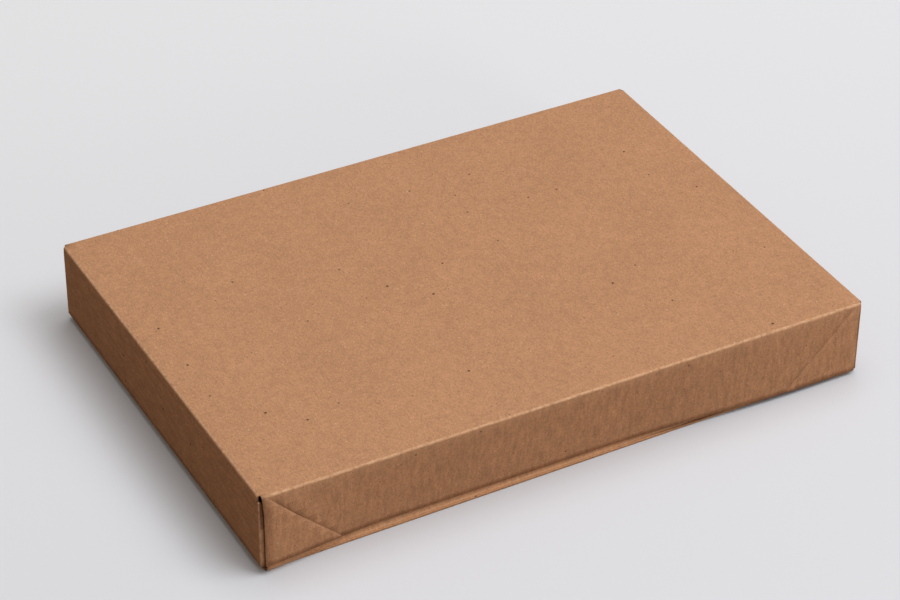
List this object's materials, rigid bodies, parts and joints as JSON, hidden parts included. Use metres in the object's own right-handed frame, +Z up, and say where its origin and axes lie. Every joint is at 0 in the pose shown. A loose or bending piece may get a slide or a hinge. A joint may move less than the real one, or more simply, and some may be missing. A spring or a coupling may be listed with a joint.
{
  "type": "apparel box",
  "caption": "Shallow two-piece kraft chipboard apparel box: a folded base tray with infold glued corners and a matching lift-off lid tray telescoped down over it, closed and lying flat.",
  "frame": {"origin": "middle of the box's bounding box, on the underside of the base tray", "axes": "+X along the long side, +Y from the front long wall to the back one, +Z up, the way the lid lifts"},
  "size_m": [0.2574, 0.181, 0.0358],
  "materials": {
    "lid_kraft": "matte",
    "base_kraft": "matte"
  },
  "bodies": {
    "base": {"base_tray": "base_kraft"},
    "lid": {"lid_tray": "lid_kraft"}
  },
  "joints": [
    {"name": "lid_lift", "type": "slide", "parent": "base", "child": "lid", "axis": [0, 0, 1], "range_m": [0, 0.045]}
  ]
}
